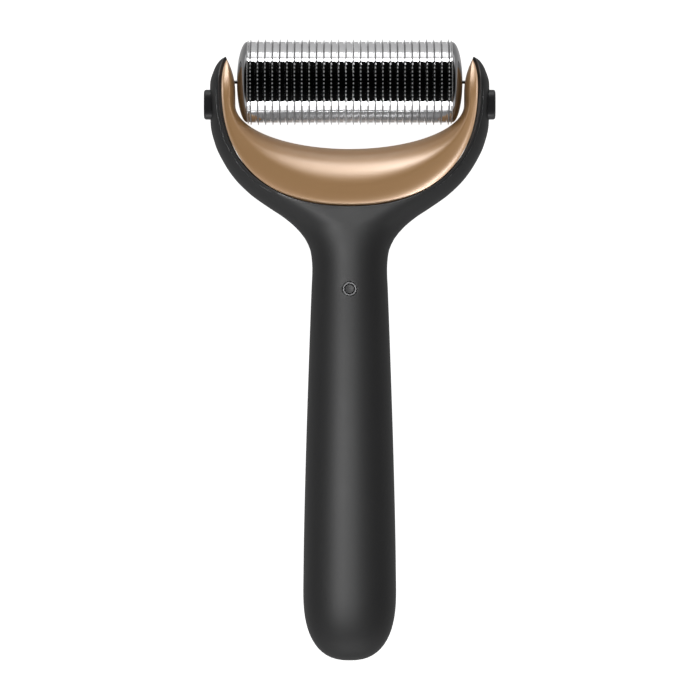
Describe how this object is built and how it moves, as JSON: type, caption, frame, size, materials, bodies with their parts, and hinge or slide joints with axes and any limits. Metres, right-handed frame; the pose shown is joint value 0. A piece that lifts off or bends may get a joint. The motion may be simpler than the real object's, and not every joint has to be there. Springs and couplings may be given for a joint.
{
  "type": "derma roller",
  "caption": "Hand-held skin roller: a matt handle and a wide yoke with a gold saddle that carries a turning drum of toothed discs on two retracting pins, with a push button on the front.",
  "frame": {"origin": "on the surface the roller lies on, under the middle of its length and width", "axes": "+X across the drum, along its axle; +Y from the handle's end to the drum; +Z out of the front face, the one with the button"},
  "size_m": [0.075, 0.16, 0.023],
  "materials": {
    "casing": "soft-touch matt black coating",
    "cradle": "satin to glossy warm gold",
    "needle_disc": "bright stamped steel",
    "spacer": "dark chrome plating, mirror bright",
    "polished_steel": "polished steel",
    "end_cap": "mirror polished",
    "release_button": "dark grey satin",
    "latch_nylon": "natural nylon",
    "power_button": "dark grey satin",
    "button_ring": "grey satin metal",
    "board": "green solder mask",
    "cell": "blue shrink sleeve over a metal can",
    "contact_brass": "plain brass"
  },
  "bodies": {
    "body": {"front_shell": "casing", "rear_shell": "casing", "cradle": "cradle", "button_ring": "button_ring", "tact_switch": "latch_nylon", "circuit_board": "board", "battery_cell": "cell", "vibration_motor": "polished_steel", "left_charge_contact": "contact_brass", "right_charge_contact": "contact_brass", "left_rocker_pin": "polished_steel", "right_rocker_pin": "polished_steel", "left_latch_spring": "polished_steel", "right_latch_spring": "polished_steel"},
    "roller": {"core_shaft": "polished_steel", "spacer_stack": "spacer", "needle_disc_01": "needle_disc", "needle_disc_02": "needle_disc", "needle_disc_03": "needle_disc", "needle_disc_04": "needle_disc", "needle_disc_05": "needle_disc", "needle_disc_06": "needle_disc", "needle_disc_07": "needle_disc", "needle_disc_08": "needle_disc", "needle_disc_09": "needle_disc", "needle_disc_10": "needle_disc", "needle_disc_11": "needle_disc", "needle_disc_12": "needle_disc", "needle_disc_13": "needle_disc", "needle_disc_14": "needle_disc", "needle_disc_15": "needle_disc", "needle_disc_16": "needle_disc", "needle_disc_17": "needle_disc", "needle_disc_18": "needle_disc", "needle_disc_19": "needle_disc", "needle_disc_20": "needle_disc", "needle_disc_21": "needle_disc", "needle_disc_22": "needle_disc", "needle_disc_23": "needle_disc", "needle_disc_24": "needle_disc", "needle_disc_25": "needle_disc", "needle_disc_26": "needle_disc", "needle_disc_27": "needle_disc", "needle_disc_28": "needle_disc", "left_flange": "polished_steel", "right_flange": "polished_steel", "left_end_cap": "end_cap", "right_end_cap": "end_cap"},
    "left_button": {"left_release_button": "release_button"},
    "right_button": {"right_release_button": "release_button"},
    "left_rocker": {"left_latch_rocker": "latch_nylon"},
    "right_rocker": {"right_latch_rocker": "latch_nylon"},
    "left_pivot": {"left_pivot_pin": "polished_steel"},
    "right_pivot": {"right_pivot_pin": "polished_steel"},
    "switch_button": {"power_button": "power_button"},
    "weight": {"motor_weight": "contact_brass"}
  },
  "joints": [
    {"name": "roller_spin", "type": "hinge", "parent": "body", "child": "roller", "pos_m": [0, 0.069, 0.012], "axis": [1, 0, 0], "continuous": true},
    {"name": "left_button_press", "type": "slide", "parent": "body", "child": "left_button", "axis": [1, 0, 0], "range_m": [0, 0.0008], "stiffness_N_per_m": 1500},
    {"name": "left_rocker_turn", "type": "hinge", "parent": "body", "child": "left_rocker", "pos_m": [-0.0318, 0.0661, 0.012], "axis": [0, 0, 1], "range_deg": [0, 16]},
    {"name": "left_pin_retract", "type": "slide", "parent": "body", "child": "left_pivot", "axis": [-1, 0, 0], "range_m": [0, 0.0008], "deforming": ["left_latch_spring"]},
    {"name": "right_button_press", "type": "slide", "parent": "body", "child": "right_button", "axis": [-1, 0, 0], "range_m": [0, 0.0008], "stiffness_N_per_m": 1500},
    {"name": "right_rocker_turn", "type": "hinge", "parent": "body", "child": "right_rocker", "pos_m": [0.0318, 0.0661, 0.012], "axis": [0, 0, -1], "range_deg": [0, 16]},
    {"name": "right_pin_retract", "type": "slide", "parent": "body", "child": "right_pivot", "axis": [1, 0, 0], "range_m": [0, 0.0008], "deforming": ["right_latch_spring"]},
    {"name": "power_button_press", "type": "slide", "parent": "body", "child": "switch_button", "axis": [0, 0, -1], "range_m": [0, 0.0003], "stiffness_N_per_m": 1200},
    {"name": "motor_weight_spin", "type": "hinge", "parent": "body", "child": "weight", "pos_m": [0, 0.023, 0.0063], "axis": [0, 1, 0], "continuous": true}
  ],
  "couplings": [
    {"joint": "left_rocker_turn", "follows": "left_button_press", "rad_per_m": 344.83},
    {"joint": "left_pin_retract", "follows": "left_button_press", "ratio": 1},
    {"joint": "right_rocker_turn", "follows": "right_button_press", "rad_per_m": 344.83},
    {"joint": "right_pin_retract", "follows": "right_button_press", "ratio": 1}
  ]
}
